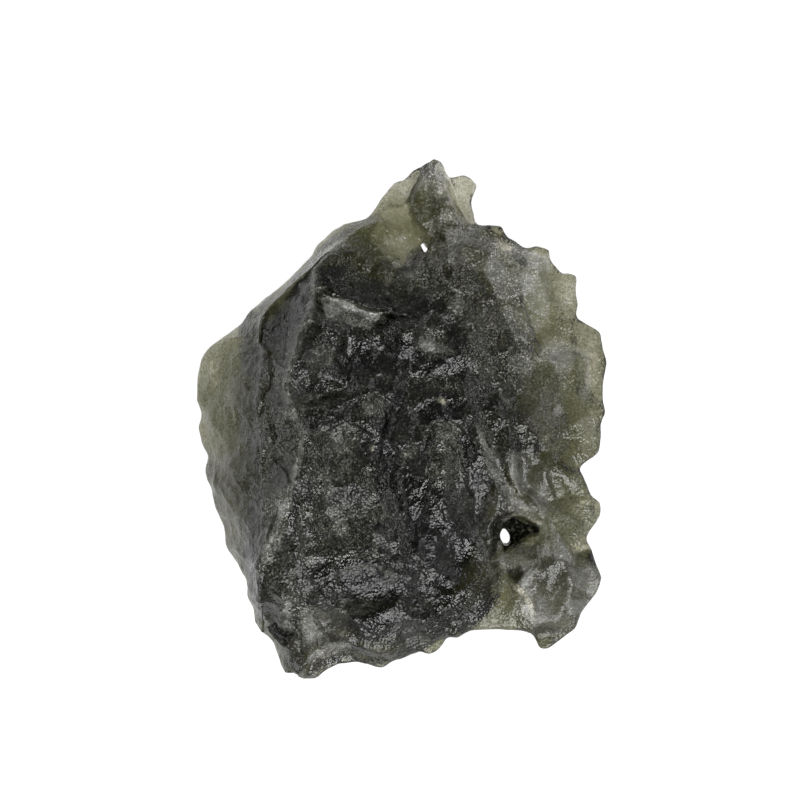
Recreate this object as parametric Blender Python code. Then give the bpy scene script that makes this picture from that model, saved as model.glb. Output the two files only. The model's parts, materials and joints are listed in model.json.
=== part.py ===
"""A raw moldavite: one piece of natural glass, etched, pitted and broken, lying on its back.

The broad face looks up (+Z). Its outline is seen from above, with +X to the right and +Y away.
The origin is on the surface that the stone rests on, under the middle of its outline.
The stone is one solid: a blank of its outline, whose upper and lower skins are then lifted to
the heights of two reliefs, scooped all over, thinned to its number of facets and pierced twice.
"""

import random

import bpy
import numpy as np
from mathutils import Vector, noise
from mathutils.geometry import delaunay_2d_cdt

# Driving dimensions, in millimetres.
MM = 0.001
LENGTH = 34.5            # along Y, from the foot of the stone to its finger
PHOTO_LENGTH_PX = 518.0  # the same length in pixels of the photograph
PX = LENGTH / PHOTO_LENGTH_PX
CENTRE_PX = (400.5, 419.0)
BLANK = 2.4              # thickness of the blank before it is lifted
GRAIN = 0.22             # edge of the even squares that the skins are worked in
THIN_WALL = 0.4          # no edge of the glass is thinner
REST_EDGE = 0.02         # what is lower than this belongs to the flat break
FACETS = 9200            # triangles of the finished stone
NEAR = 1e-5              # points closer than this are one point

# The outline, clockwise from the tip of the finger, in pixels of the photograph.
TOP = [
    (428, 164), (434, 160), (441, 163), (445, 168), (445, 175), (450, 178), (457, 176),
    (464, 174), (471, 177), (478, 185), (473, 196), (471, 203), (474, 215), (474, 226),
]
RIGHT_STEPS = [
    (487, 226), (502, 227), (505, 237), (518, 244), (521, 248), (528, 249), (537, 246),
    (549, 250), (550, 261), (556, 267), (560, 274), (568, 273), (577, 276), (575, 291),
    (578, 305), (575, 318), (583, 322), (593, 328), (600, 333), (602, 348), (606, 361),
    (602, 385), (602, 400), (605, 412), (600, 422), (601, 434), (598, 453), (588, 460),
]
RIGHT_LOBE = [
    (577, 467), (584, 478), (590, 495), (601, 503), (601, 514), (594, 525), (585, 537),
    (592, 551), (596, 564), (602, 577), (597, 592), (589, 602), (581, 612), (576, 628),
    (567, 635), (548, 649), (540, 650), (533, 634),
]
FOOT = [
    (518, 630), (494, 629), (470, 630), (456, 638), (445, 634), (444, 642), (437, 650),
    (428, 654), (420, 650), (405, 657), (394, 660), (382, 668), (369, 664), (358, 661),
    (339, 663), (326, 669), (317, 677), (300, 678), (296, 672), (286, 675), (281, 667),
    (277, 654), (271, 640), (260, 633), (254, 624),
]
LEFT_EDGE = [
    (252, 608), (246, 594), (246, 583), (238, 568), (224, 547), (223, 530), (214, 509),
    (210, 491), (203, 472), (207, 456), (200, 445), (196, 428), (200, 414), (195, 400),
    (195, 378), (200, 357), (208, 346),
]
UPPER_LEFT = [
    (228, 332), (242, 322), (250, 310), (271, 293), (288, 280), (298, 269), (313, 254),
    (316, 246), (332, 231), (346, 223), (364, 220), (371, 215), (380, 200), (395, 182),
    (404, 181), (413, 171), (421, 168),
]
OUTLINE = TOP + RIGHT_STEPS + RIGHT_LOBE + FOOT + LEFT_EDGE + UPPER_LEFT

# Heights along the rim, clockwise: pixel, upper edge, thickness of the glass there (mm).
RIM = [
    ((434, 160), 7.8, 1.3), ((450, 178), 5.6, 0.7), ((478, 185), 4.8, 0.5), ((474, 226), 6.4, 0.8),
    ((502, 227), 7.3, 1.3), ((549, 250), 6.5, 0.8), ((577, 276), 6.2, 0.6), ((578, 305), 6.2, 0.5),
    ((600, 333), 6.4, 0.7), ((606, 361), 6.5, 0.6), ((605, 412), 6.4, 0.7), ((598, 453), 6.3, 0.7),
    ((577, 467), 6.6, 0.9), ((601, 514), 5.8, 0.7), ((585, 537), 6.4, 0.9), ((602, 577), 6.2, 1.0),
    ((576, 628), 5.8, 0.9), ((540, 650), 5.6, 1.0), ((518, 630), 6.0, 0.8), ((456, 638), 6.5, 0.8),
    ((428, 654), 6.6, 0.9), ((382, 668), 6.4, 0.7), ((339, 663), 6.7, 0.6), ((300, 678), 6.8, 1.0),
    ((281, 667), 5.4, 1.1), ((254, 624), 4.2, 0.9), ((238, 568), 3.9, 0.8), ((203, 472), 3.6, 0.7),
    ((195, 400), 3.4, 0.7), ((208, 346), 3.7, 0.8), ((250, 310), 4.7, 0.7), ((298, 269), 5.2, 0.7),
    ((346, 223), 5.5, 0.6), ((371, 215), 5.7, 0.6), ((395, 182), 5.8, 0.5), ((421, 168), 7.0, 0.9),
]

# Ridges and ledges of the broad face: pixel x, pixel y, height (mm).
CREST = [
    (374, 224, 6.9), (350, 241, 7.8), (330, 256, 8.6), (318, 268, 9.1), (318, 291, 9.9),
    (311, 316, 10.3), (300, 342, 10.6), (290, 380, 10.9), (291, 402, 11.0), (301, 430, 10.9),
    (298, 465, 11.0), (291, 493, 11.0), (283, 520, 10.7), (271, 542, 10.2), (262, 566, 9.7),
    (261, 598, 8.8), (267, 626, 6.8),
]
BEVEL_EDGE = [(263, 366, 8.6), (260, 400, 8.9), (263, 450, 9.1), (265, 495, 9.2), (262, 535, 9.3)]
SHELF_EDGE = [(283, 353, 8.9), (263, 345, 7.7), (262, 324, 7.3), (278, 302, 7.3), (303, 279, 7.8)]
FINGER_LEFT = [(424, 177, 7.6), (413, 200, 7.7), (417, 222, 7.8), (427, 236, 7.9), (435, 262, 8.0)]
FINGER_LEFT_FOOT = [(418, 180, 6.3), (404, 201, 6.3), (408, 226, 6.9), (418, 247, 7.0)]
FINGER_RIGHT = [(446, 181, 7.7), (449, 200, 7.6), (457, 221, 7.7)]
FINGER_RIGHT_FOOT = [(453, 182, 5.4), (458, 202, 5.6), (466, 219, 6.3)]
UPPER_LEDGE = [(323, 291, 9.8), (345, 301, 9.7), (380, 310, 9.4)]
LEDGE_FOOT = [(324, 297, 9.2), (345, 307, 9.0), (380, 316, 8.8)]
MIDDLE_RIDGE = [(303, 409, 10.2), (335, 406, 9.9), (352, 399, 9.7), (363, 387, 9.5)]
RIDGE_FOOT = [(306, 403, 9.5), (334, 397, 9.1), (350, 389, 9.0)]
RIGHT_LEDGE = [
    (470, 405, 8.9), (481, 430, 8.9), (485, 455, 8.8), (491, 472, 8.5), (501, 492, 8.2),
    (516, 505, 7.7),
]
RIGHT_LEDGE_FOOT = [
    (478, 403, 8.4), (489, 430, 8.2), (493, 453, 8.1), (500, 472, 7.8), (508, 490, 7.4),
]
OUTER_LEDGE = [
    (510, 451, 8.1), (511, 470, 8.0), (515, 486, 7.7), (524, 500, 7.4), (545, 512, 7.0), (575, 529, 6.7),
]
OUTER_LEDGE_FOOT = [(519, 452, 7.6), (520, 470, 7.4), (526, 486, 7.1), (547, 502, 6.6)]
FOOT_ARC = [
    (305, 671, 7.4), (314, 656, 7.9), (330, 646, 8.2), (346, 641, 8.2), (362, 646, 8.0), (381, 651, 7.6),
]
FOOT_ARC_UNDER = [(318, 668, 7.0), (333, 657, 7.2), (350, 652, 7.2), (368, 656, 7.0)]
CREAM_RIDGE = [(506, 566, 6.6), (514, 584, 6.9), (527, 605, 6.8), (532, 624, 6.3)]
PIT_BROW = [(488, 528, 7.3), (494, 517, 7.6), (508, 513, 7.6), (522, 514, 7.5), (535, 524, 7.2)]
PIT_FOOT = [(500, 524, 5.9), (510, 519, 5.7), (522, 520, 5.6), (530, 527, 5.7)]
LOBE_CRESCENT = [(546, 521, 7.0), (552, 536, 7.3), (563, 552, 7.3), (570, 581, 7.0)]
RIDGES = [
    CREST, BEVEL_EDGE, SHELF_EDGE, FINGER_LEFT, FINGER_LEFT_FOOT, FINGER_RIGHT, FINGER_RIGHT_FOOT,
    UPPER_LEDGE, LEDGE_FOOT, MIDDLE_RIDGE, RIDGE_FOOT, RIGHT_LEDGE,
    RIGHT_LEDGE_FOOT, OUTER_LEDGE, OUTER_LEDGE_FOOT, FOOT_ARC, FOOT_ARC_UNDER, CREAM_RIDGE,
    PIT_BROW, PIT_FOOT, LOBE_CRESCENT,
]

# Lumps and hollows between the ridges: pixel x, pixel y, height (mm).
SPOTS = [
    (434, 172, 8.0), (438, 186, 8.3), (430, 200, 8.0), (440, 212, 8.2), (436, 230, 7.9),
    (463, 196, 5.4), (392, 205, 6.2),
    (388, 218, 6.2), (405, 232, 6.9), (405, 262, 7.0), (385, 285, 7.7), (350, 268, 8.6),
    (345, 286, 9.3), (420, 285, 7.8), (410, 303, 8.4), (450, 250, 8.3), (448, 288, 8.6),
    (478, 250, 7.9), (500, 250, 7.5), (520, 262, 7.4), (490, 285, 8.0), (538, 280, 6.7),
    (520, 305, 7.1), (560, 295, 6.4), (350, 322, 9.5), (326, 350, 10.1), (330, 372, 9.7),
    (350, 355, 9.0), (372, 345, 9.1), (400, 330, 9.5), (412, 362, 8.9), (440, 325, 9.0),
    (465, 310, 8.4), (455, 350, 9.0), (480, 345, 8.3), (500, 330, 7.8), (515, 360, 7.7),
    (545, 335, 6.8), (578, 345, 6.6), (560, 375, 6.9), (590, 385, 6.5), (380, 402, 9.7),
    (403, 400, 8.9), (440, 400, 9.0), (465, 375, 8.9), (491, 393, 7.9), (510, 420, 8.0),
    (540, 440, 7.5), (550, 400, 7.2), (580, 430, 6.7), (560, 475, 7.0), (330, 440, 10.0),
    (360, 435, 9.9), (385, 450, 9.0), (402, 470, 8.7), (418, 440, 9.2), (445, 445, 9.7),
    (462, 440, 9.0), (330, 480, 9.9), (360, 500, 9.8), (318, 520, 9.6), (410, 515, 8.7),
    (440, 490, 9.1), (470, 485, 7.9), (385, 540, 9.4), (345, 560, 9.4), (430, 560, 8.4),
    (455, 530, 8.5), (478, 530, 7.2), (490, 560, 7.0), (300, 560, 9.7), (283, 590, 9.6),
    (310, 600, 9.3), (345, 600, 9.0), (385, 590, 9.0), (425, 600, 8.5), (465, 590, 7.9),
    (500, 605, 6.8), (325, 630, 8.3), (365, 628, 8.5), (405, 630, 8.0), (440, 620, 7.6),
    (283, 633, 7.7), (293, 655, 6.8), (506, 531, 5.6), (521, 529, 5.5), (518, 552, 6.7),
    (513, 574, 5.9), (536, 560, 7.1), (550, 585, 6.9), (583, 553, 6.4), (586, 588, 6.3),
    (560, 615, 6.4), (544, 632, 5.9), (279, 505, 9.9), (276, 470, 9.6), (274, 430, 9.9),
    (274, 390, 9.6), (246, 372, 7.1), (230, 372, 6.1), (235, 420, 6.9), (240, 480, 7.6),
    (248, 540, 7.8), (226, 500, 6.0), (218, 430, 5.5), (213, 385, 5.0), (285, 320, 8.4),
    (207, 376, 4.4), (207, 420, 4.6), (213, 478, 5.0), (236, 552, 5.9), (252, 590, 6.6),
    (290, 305, 8.0), (240, 338, 5.6), (330, 240, 6.4), (305, 272, 6.6), (262, 306, 5.9),
]

# Scallops that show one by one: centre x, y, half length, half width (pixels), turn (degrees).
# Each is this share of its half width deep.
SCALLOP_STEEPNESS = 0.28
SCALLOPS = [
    (322, 632, 30, 24, 70), (284, 326, 26, 19, 60), (345, 656, 34, 9, 8), (205, 432, 22, 10, 85),
    (211, 481, 20, 9, 80), (229, 530, 22, 12, 70), (222, 388, 26, 16, 60), (240, 440, 34, 16, 88),
    (246, 505, 34, 15, 80), (527, 480, 30, 15, 70), (494, 445, 32, 11, 72), (518, 549, 19, 14, 0),
    (586, 588, 17, 12, 60), (545, 633, 14, 12, 40), (578, 553, 14, 9, 20), (350, 280, 32, 24, 20),
    (352, 320, 30, 13, 12), (350, 358, 24, 14, 80), (328, 391, 32, 10, 168), (491, 394, 10, 8, 0),
    (390, 458, 44, 13, 85), (413, 520, 38, 13, 75), (342, 448, 34, 26, 30), (348, 512, 34, 28, 10),
    (366, 592, 38, 22, 5), (428, 592, 30, 24, 20), (458, 548, 40, 22, 80), (563, 398, 32, 22, 80),
    (566, 346, 24, 18, 20), (502, 322, 34, 24, 50), (470, 272, 28, 22, 120), (436, 334, 32, 22, 70),
    (522, 388, 38, 20, 65), (556, 442, 26, 18, 30), (455, 378, 28, 18, 10), (400, 425, 22, 18, 90),
    (480, 505, 34, 16, 70), (540, 285, 26, 16, 80), (497, 258, 24, 14, 10), (405, 255, 28, 18, 60),
    (390, 300, 30, 12, 10), (552, 590, 28, 18, 60), (300, 596, 28, 18, 60), (286, 545, 22, 12, 70),
    (500, 596, 28, 14, 80), (562, 492, 26, 14, 40), (272, 400, 34, 10, 88), (277, 470, 30, 11, 84),
    (283, 634, 16, 11, 10), (405, 634, 34, 14, 5), (430, 200, 16, 11, 60), (380, 350, 26, 16, 40),
    (330, 345, 16, 12, 0), (455, 450, 22, 18, 40), (245, 335, 26, 12, 145), (335, 240, 26, 10, 145),
    (462, 198, 18, 10, 80),
]

# The underside: a flat break that the stone rests on, and heights round it (pixel, pixel, mm).
REST_BREAK = [
    (322, 410), (314, 452), (330, 492), (326, 528), (356, 566), (398, 574), (441, 560), (462, 512),
    (456, 470), (472, 432), (448, 386), (408, 366), (384, 378), (350, 368),
]
UNDER_RIDGES = [
    [(304, 382, 1.5), (284, 350, 2.0), (268, 330, 3.0)],
    [(470, 380, 0.9), (500, 352, 2.2), (528, 330, 4.3)],
    [(472, 520, 1.1), (500, 540, 2.9), (530, 566, 3.9)],
    [(350, 586, 0.7), (332, 612, 1.7), (322, 640, 3.2)],
    [(420, 346, 0.9), (428, 310, 1.6), (436, 270, 3.1)],
]
UNDER_SPOTS = [
    (282, 395, 4.4), (240, 420, 4.0), (272, 470, 4.5), (238, 490, 4.1), (258, 540, 4.5),
    (282, 540, 3.4), (268, 590, 3.2), (296, 625, 3.2), (250, 365, 4.1), (222, 385, 3.3),
    (222, 450, 3.4), (226, 515, 3.6), (283, 330, 4.0), (240, 336, 3.9), (262, 306, 4.8),
    (290, 287, 5.2), (305, 266, 5.0), (332, 240, 5.1), (350, 229, 5.0), (330, 305, 3.1),
    (355, 262, 4.4), (318, 275, 4.5), (405, 262, 4.7), (392, 205, 5.0), (436, 226, 4.6),
    (434, 185, 4.9), (463, 198, 4.4), (385, 300, 3.3), (350, 335, 1.6), (470, 290, 3.2),
    (480, 255, 4.3), (520, 275, 4.6), (490, 310, 3.3), (540, 330, 4.4), (570, 320, 4.9),
    (505, 400, 3.0), (535, 380, 3.9), (575, 370, 4.7), (520, 430, 2.9), (580, 425, 4.6),
    (550, 460, 4.3), (500, 480, 3.0), (565, 515, 4.4), (520, 530, 4.7), (500, 520, 4.3),
    (545, 570, 3.7), (580, 575, 4.2), (500, 590, 4.3), (550, 620, 4.0), (450, 605, 2.8),
    (470, 560, 2.8), (400, 625, 3.7), (380, 600, 2.0), (350, 640, 4.8), (300, 575, 2.4),
    (298, 510, 2.6), (296, 440, 3.2), (207, 400, 2.7), (210, 445, 2.8), (214, 490, 3.0),
    (240, 560, 3.5), (480, 440, 1.1), (475, 470, 1.9),
]

# The two places where light shows right through, in pixels of the photograph.
EYELET_CENTRE = (505, 537)
EYELET_RADII_PX = (5.2, 8.8)
EYELET_TILT = -0.30
EYELET_CORNERS = 10
ABOVE_STONE = 14.0       # the cutters end at this height
SLIT = [(417, 238), (420, 238), (424, 243), (428, 250), (428, 259), (425, 258), (422, 248)]

# Scoops that etching left all over: how many, smallest and largest radius, and their depth for
# their radius (mm), and the seed that places them.
UPPER_SCOOPS = (170, 0.45, 1.3, 0.15, 11)
UNDER_SCOOPS = (190, 0.7, 3.0, 0.20, 12)

# Ridges wander by this much, over this distance (mm).
WANDER = 0.26
WANDER_SPAN = 2.6

GLASS_COLOUR = (0.10, 0.11, 0.08, 1.0)
GLASS_ROUGHNESS = 0.35
SHARP_ANGLE = 0.6


def clear_scene():
    for thing in list(bpy.data.objects):
        bpy.data.objects.remove(thing)


def to_mm(px, py):
    """Place of a pixel of the photograph, in millimetres from the origin."""
    return (px - CENTRE_PX[0]) * PX, (CENTRE_PX[1] - py) * PX


def along_rim(column):
    """A value for each outline point, read off RIM by distance round the outline."""
    corners = np.array([to_mm(*p) for p in OUTLINE])
    steps = np.linalg.norm(np.roll(corners, -1, axis=0) - corners, axis=1)
    travelled = np.concatenate([[0.0], np.cumsum(steps)[:-1]])
    keys = sorted((travelled[OUTLINE.index(row[0])], row[column]) for row in RIM)
    where, values = zip(*keys)
    return np.interp(travelled, where, values, period=steps.sum())


def relief(rim_heights, lines, spots):
    """Corners and triangles of a relief: the rim, its ridge lines and its single spots."""
    flat = [Vector(to_mm(*p)) for p in OUTLINE]
    heights = list(rim_heights)
    edges = [(i, (i + 1) % len(flat)) for i in range(len(flat))]
    for line in lines:
        first = len(flat)
        flat += [Vector(to_mm(x, y)) for x, y, z in line]
        heights += [z for x, y, z in line]
        edges += [(i, i + 1) for i in range(first, len(flat) - 1)]
    flat += [Vector(to_mm(x, y)) for x, y, z in spots]
    heights += [z for x, y, z in spots]
    corners, _, faces, came_from, _, _ = delaunay_2d_cdt(flat, edges, [], 0, NEAR)
    lifted = [(*corner, heights[source[0]]) for corner, source in zip(corners, came_from)]
    return np.array(lifted), np.array(faces)


def heights_on(shape, places):
    """Height of a relief over each place; past its edge, the height of its nearest corner."""
    corners, faces = shape
    found = np.full(len(places), np.nan)
    for a, b, c in corners[faces]:
        low = np.minimum(np.minimum(a, b), c)[:2] - NEAR
        high = np.maximum(np.maximum(a, b), c)[:2] + NEAR
        near = np.nonzero(np.all((places >= low) & (places <= high), axis=1))[0]
        if len(near) == 0:
            continue
        basis = np.column_stack([b[:2] - a[:2], c[:2] - a[:2]])
        share = np.linalg.solve(basis, (places[near] - a[:2]).T)
        inside = (share[0] >= -NEAR) & (share[1] >= -NEAR) & (share.sum(axis=0) <= 1 + NEAR)
        rise = a[2] + share[0] * (b[2] - a[2]) + share[1] * (c[2] - a[2])
        found[near[inside]] = rise[inside]
    for lost in np.nonzero(np.isnan(found))[0]:
        nearest = np.argmin(np.linalg.norm(corners[:, :2] - places[lost], axis=1))
        found[lost] = corners[nearest, 2]
    return found


def wandered(places, level):
    """The places pushed about by smooth noise, so that straight ridges run crooked."""
    moved = places.copy()
    for i, (x, y) in enumerate(places):
        push = noise.noise_vector(Vector((x / WANDER_SPAN, y / WANDER_SPAN, level)))
        fine = noise.noise_vector(Vector((3 * x / WANDER_SPAN, 3 * y / WANDER_SPAN, level)))
        moved[i] += (WANDER * (push.x + fine.x / 3), WANDER * (push.y + fine.y / 3))
    return moved


def bowl(places, middle, half_length, half_width, turn, depth):
    """Depth of one oval scoop under each place, negative outside it."""
    dx, dy = (places - middle).T
    along = (dx * np.cos(turn) + dy * np.sin(turn)) / half_length
    across = (dy * np.cos(turn) - dx * np.sin(turn)) / half_width
    return depth * (1 - along ** 2 - across ** 2)


def scallop_depths(places):
    """Depth of the scallops that show one by one. Where two meet, the deeper one wins."""
    depth = np.zeros(len(places))
    for px, py, half_length, half_width, turn in SCALLOPS:
        size = half_length * PX, half_width * PX
        cut = bowl(places, to_mm(px, py), *size, np.radians(turn), SCALLOP_STEEPNESS * size[1])
        depth = np.maximum(depth, cut)
    return depth


def scoop_depths(places, count, least, most, steepness, seed):
    """Depth of seeded, overlapping scoops."""
    draw = random.Random(seed)
    half_x, half_y = np.abs(places).max(axis=0)
    depth = np.zeros(len(places))
    for _ in range(count):
        middle = (draw.uniform(-half_x, half_x), draw.uniform(-half_y, half_y))
        radius = least + (most - least) * draw.random() ** 2
        squash = draw.uniform(0.55, 1.0)
        turn = draw.uniform(0, np.pi)
        cut = bowl(places, middle, radius, radius * squash, turn, steepness * radius)
        depth = np.maximum(depth, cut)
    return depth


def make_blank():
    """The outline as a plate of even thickness, in even squares. Millimetres."""
    corners = [to_mm(*p) for p in reversed(OUTLINE)]
    count = len(corners)
    ring = range(count)
    points = [(x, y, 0.0) for x, y in corners] + [(x, y, BLANK) for x, y in corners]
    walls = [(i, (i + 1) % count, count + (i + 1) % count, count + i) for i in ring]
    faces = [tuple(reversed(ring)), tuple(count + i for i in ring), *walls]
    mesh = bpy.data.meshes.new("moldavite")
    mesh.from_pydata(points, [], faces)
    stone = bpy.data.objects.new("moldavite", mesh)
    bpy.context.collection.objects.link(stone)
    squares = stone.modifiers.new("even squares", "REMESH")
    squares.mode = "VOXEL"
    squares.voxel_size = GRAIN
    settle(stone)
    return stone


def settle(stone):
    """Apply the object's modifiers to its mesh."""
    ready = stone.evaluated_get(bpy.context.evaluated_depsgraph_get())
    finished = bpy.data.meshes.new_from_object(ready)
    old = stone.data
    stone.modifiers.clear()
    stone.data = finished
    bpy.data.meshes.remove(old)
    finished.name = "moldavite"


def skin_heights(places):
    """Upper and lower skin of the stone over each place. Scoops leave a thin wall at least."""
    upper_edge = along_rim(1)
    lower_edge = upper_edge - along_rim(2)
    rest = [(x, y, 0.0) for x, y in REST_BREAK]
    rest.append(rest[0])
    crooked = wandered(places, 1.5)
    upper = heights_on(relief(upper_edge, RIDGES, SPOTS), crooked)
    lower = heights_on(relief(lower_edge, [rest, *UNDER_RIDGES], UNDER_SPOTS), wandered(places, 7.5))
    upper = np.maximum(upper, lower + THIN_WALL)
    spare = (upper - lower - THIN_WALL) / 2
    pits = scallop_depths(crooked) + scoop_depths(crooked, *UPPER_SCOOPS)
    under_pits = scoop_depths(places, *UNDER_SCOOPS)
    upper = upper - np.minimum(pits, spare)
    lower = np.where(lower < REST_EDGE, 0.0, lower + np.minimum(under_pits, spare))
    return upper, lower


def lift_skins(stone):
    """Slide every point of the blank between the two skins, and bring it to metres."""
    mesh = stone.data
    flat = np.empty(3 * len(mesh.vertices))
    mesh.vertices.foreach_get("co", flat)
    points = flat.reshape(-1, 3)
    share = np.clip((points[:, 2] - points[:, 2].min()) / np.ptp(points[:, 2]), 0, 1)
    upper, lower = skin_heights(points[:, :2])
    points[:, 2] = lower + share * (upper - lower)
    mesh.vertices.foreach_set("co", (points * MM).ravel())
    mesh.update()


def thin_out(stone):
    """Leave the stone with its number of facets."""
    stone.data.calc_loop_triangles()
    fewer = stone.modifiers.new("facets", "DECIMATE")
    fewer.ratio = FACETS / len(stone.data.loop_triangles)
    fewer.use_collapse_triangulate = True
    settle(stone)
    for corner in stone.data.vertices:
        if corner.co.z < REST_EDGE * MM:
            corner.co.z = 0.0


def make_cutter(name, outline_mm):
    """A guide that cuts a straight hole of an outline right through the stone."""
    count = len(outline_mm)
    ring = range(count)
    points = [(x * MM, y * MM, -MM) for x, y in outline_mm]
    points += [(x * MM, y * MM, ABOVE_STONE * MM) for x, y in outline_mm]
    walls = [(i, (i + 1) % count, count + (i + 1) % count, count + i) for i in ring]
    mesh = bpy.data.meshes.new(name)
    mesh.from_pydata(points, [], [tuple(reversed(ring)), tuple(count + i for i in ring), *walls])
    cutter = bpy.data.objects.new(name, mesh)
    bpy.context.collection.objects.link(cutter)
    cutter.hide_render = True
    cutter.display_type = "WIRE"
    return cutter


def eyelet_outline():
    """A leaning ellipse, counterclockwise."""
    middle = to_mm(*EYELET_CENTRE)
    wide, tall = (radius * PX for radius in EYELET_RADII_PX)
    points = []
    for angle in np.linspace(0, 2 * np.pi, EYELET_CORNERS, endpoint=False):
        u, v = wide * np.cos(angle), tall * np.sin(angle)
        x = middle[0] + u * np.cos(EYELET_TILT) + v * np.sin(EYELET_TILT)
        y = middle[1] - u * np.sin(EYELET_TILT) + v * np.cos(EYELET_TILT)
        points.append((float(x), float(y)))
    return points


def pierce(stone):
    """Cut the eyelet and the slit."""
    slit_outline = [to_mm(*p) for p in reversed(SLIT)]
    for name, outline in (("eyelet", eyelet_outline()), ("slit", slit_outline)):
        cut = stone.modifiers.new(name, "BOOLEAN")
        cut.operation = "DIFFERENCE"
        cut.solver = "EXACT"
        cut.object = make_cutter(name, outline)


def make_glass():
    glass = bpy.data.materials.new("natural_glass")
    glass.use_nodes = True
    shader = glass.node_tree.nodes["Principled BSDF"]
    shader.inputs["Base Color"].default_value = GLASS_COLOUR
    shader.inputs["Roughness"].default_value = GLASS_ROUGHNESS
    shader.inputs["Metallic"].default_value = 0.0
    return glass


def main():
    clear_scene()
    stone = make_blank()
    lift_skins(stone)
    thin_out(stone)
    stone.data.shade_smooth()
    stone.data.set_sharp_from_angle(angle=SHARP_ANGLE)
    stone.data.materials.append(make_glass())
    pierce(stone)


main()
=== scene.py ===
# %% [markdown]
# A raw moldavite, from a plain solid to a finished stone.
# Moldavite is natural glass. Acids in the ground have eaten scallops and pits into it, its edges
# have splintered thin, and it is olive green where light gets through and nearly black where it is
# thick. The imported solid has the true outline, thickness, ridges and ledges. This lesson takes a
# copy of it and gives the copy the fine etched surface and the glass.

# %% Load the frame
import json
import math

import bpy
import numpy as np
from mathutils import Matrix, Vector
from mathutils.bvhtree import BVHTree

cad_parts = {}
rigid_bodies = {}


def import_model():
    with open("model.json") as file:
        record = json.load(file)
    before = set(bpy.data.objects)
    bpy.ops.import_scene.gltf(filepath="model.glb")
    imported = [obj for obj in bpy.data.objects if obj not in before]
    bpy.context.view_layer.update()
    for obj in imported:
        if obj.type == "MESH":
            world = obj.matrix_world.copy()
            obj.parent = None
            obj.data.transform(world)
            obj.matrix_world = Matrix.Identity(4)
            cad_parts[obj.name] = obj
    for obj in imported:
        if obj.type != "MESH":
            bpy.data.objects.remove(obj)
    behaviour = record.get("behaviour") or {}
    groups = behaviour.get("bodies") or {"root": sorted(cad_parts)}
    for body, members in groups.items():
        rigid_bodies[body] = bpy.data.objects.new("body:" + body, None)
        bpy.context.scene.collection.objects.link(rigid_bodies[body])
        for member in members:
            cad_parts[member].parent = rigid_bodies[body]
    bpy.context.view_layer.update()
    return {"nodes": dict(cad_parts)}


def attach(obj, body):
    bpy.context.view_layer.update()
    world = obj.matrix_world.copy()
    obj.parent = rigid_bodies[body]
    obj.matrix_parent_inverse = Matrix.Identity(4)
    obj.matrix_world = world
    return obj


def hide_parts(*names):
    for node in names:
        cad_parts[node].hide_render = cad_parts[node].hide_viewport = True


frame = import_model()
MM = 0.001

# %% [markdown]
# The stone was photographed from straight above with a long lens. A longer lens flattens a thing,
# and a short one would make the high crest look larger than the rims. The photograph is 800 pixels
# wide, and the stone's length in it gives the width of the view at the height of the rims.

# %% Camera
PHOTO_WIDTH_PX = 800
STONE_LENGTH_PX = 518
STONE_MIDDLE_PX = (400.5, 419.0)
STONE_LENGTH = 34.5 * MM
PX = STONE_LENGTH / STONE_LENGTH_PX
LENS_MM = 150
SENSOR_MM = 36
RIM_HEIGHT = 5.5 * MM
NEAREST_SEEN, FARTHEST_SEEN = 0.01, 20


def place(px, py):
    """Where a pixel of the photograph lies, in metres from the origin."""
    return (px - STONE_MIDDLE_PX[0]) * PX, (STONE_MIDDLE_PX[1] - py) * PX


view_width = PHOTO_WIDTH_PX * PX
distance = view_width * LENS_MM / SENSOR_MM
middle = place(PHOTO_WIDTH_PX / 2, PHOTO_WIDTH_PX / 2)
bpy.ops.object.camera_add(location=(*middle, RIM_HEIGHT + distance), rotation=(0, 0, 0))
camera = bpy.context.active_object
camera.name = "camera"
camera.data.lens = LENS_MM
camera.data.sensor_width = SENSOR_MM
camera.data.clip_start = NEAREST_SEEN
camera.data.clip_end = FARTHEST_SEEN
bpy.context.scene.camera = camera
print("camera is", round(distance / MM), "mm above the rims")

# %% [markdown]
# The floor is a plain pale sheet. Thin glass shows what is behind it, so the floor's white is
# what lights the rims from below. The sheet is grey in itself and glows like a light table, which
# is how such stones are often shown, and that leaves hardly any shadow.

# %% Floor
FLOOR_SIZE = 4.0
FLOOR_GAP = 0.02 * MM
FLOOR_GREY = (0.25, 0.25, 0.25, 1)
FLOOR_GLOW = 0.95
FLOOR_ROUGHNESS = 0.9

bpy.ops.object.select_all(action="DESELECT")
bpy.ops.mesh.primitive_plane_add(size=FLOOR_SIZE, location=(0, 0, -FLOOR_GAP))
floor = bpy.context.active_object
floor.name = "floor"
pale = bpy.data.materials.new("pale floor")
pale.use_nodes = True
sheet = pale.node_tree.nodes["Principled BSDF"]
sheet.inputs["Base Color"].default_value = FLOOR_GREY
sheet.inputs["Roughness"].default_value = FLOOR_ROUGHNESS
sheet.inputs["Specular IOR Level"].default_value = 0.0
sheet.inputs["Emission Color"].default_value = (1, 1, 1, 1)
sheet.inputs["Emission Strength"].default_value = FLOOR_GLOW
floor.data.materials.append(pale)
print("floor", FLOOR_SIZE, "m wide")

# %% [markdown]
# Glass is seen by what it mirrors and what shines through it. The surround is bright at the sides
# and darkens from a third of the way up to straight overhead, where the lens would be, so level
# places look black and slopes look grey. Large soft lights, strongest on the near side, give each
# ridge a light side and a dark side.

# %% Light
OVERHEAD = 0.04
ALL_ROUND = 0.35
FADE_STARTS = 0.5

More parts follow.
